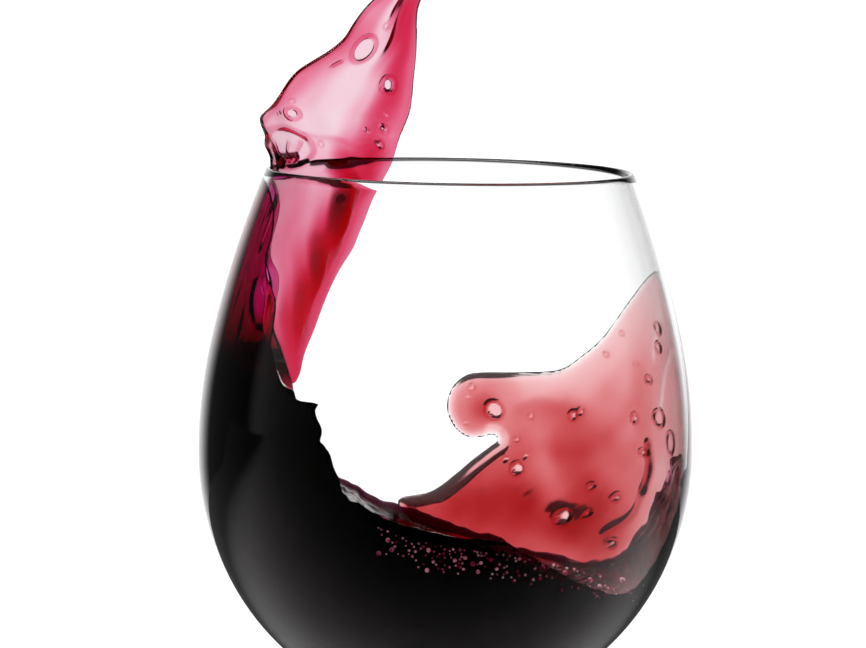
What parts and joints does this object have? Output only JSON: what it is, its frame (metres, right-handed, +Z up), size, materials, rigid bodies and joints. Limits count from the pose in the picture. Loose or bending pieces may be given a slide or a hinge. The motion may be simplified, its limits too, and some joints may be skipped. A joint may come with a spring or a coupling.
{
  "type": "glass of red wine, caught in mid swirl",
  "caption": "Stemmed round-bowled wine glass with red wine thrown up one side: a thick wave, a thin sheet flying past the lip and a curled film on the far wall.",
  "frame": {"origin": "centre of the foot, on the table", "axes": "+Z up along the stem; -X is the side that the wine climbs; +Y is the far side, where its thin sheets cling"},
  "size_m": [0.092, 0.092, 0.2455],
  "materials": {
    "clear_glass": "polished",
    "red_wine": "wet gloss"
  },
  "bodies": {
    "root": {"glass": "clear_glass", "wine": "red_wine"}
  },
  "joints": []
}
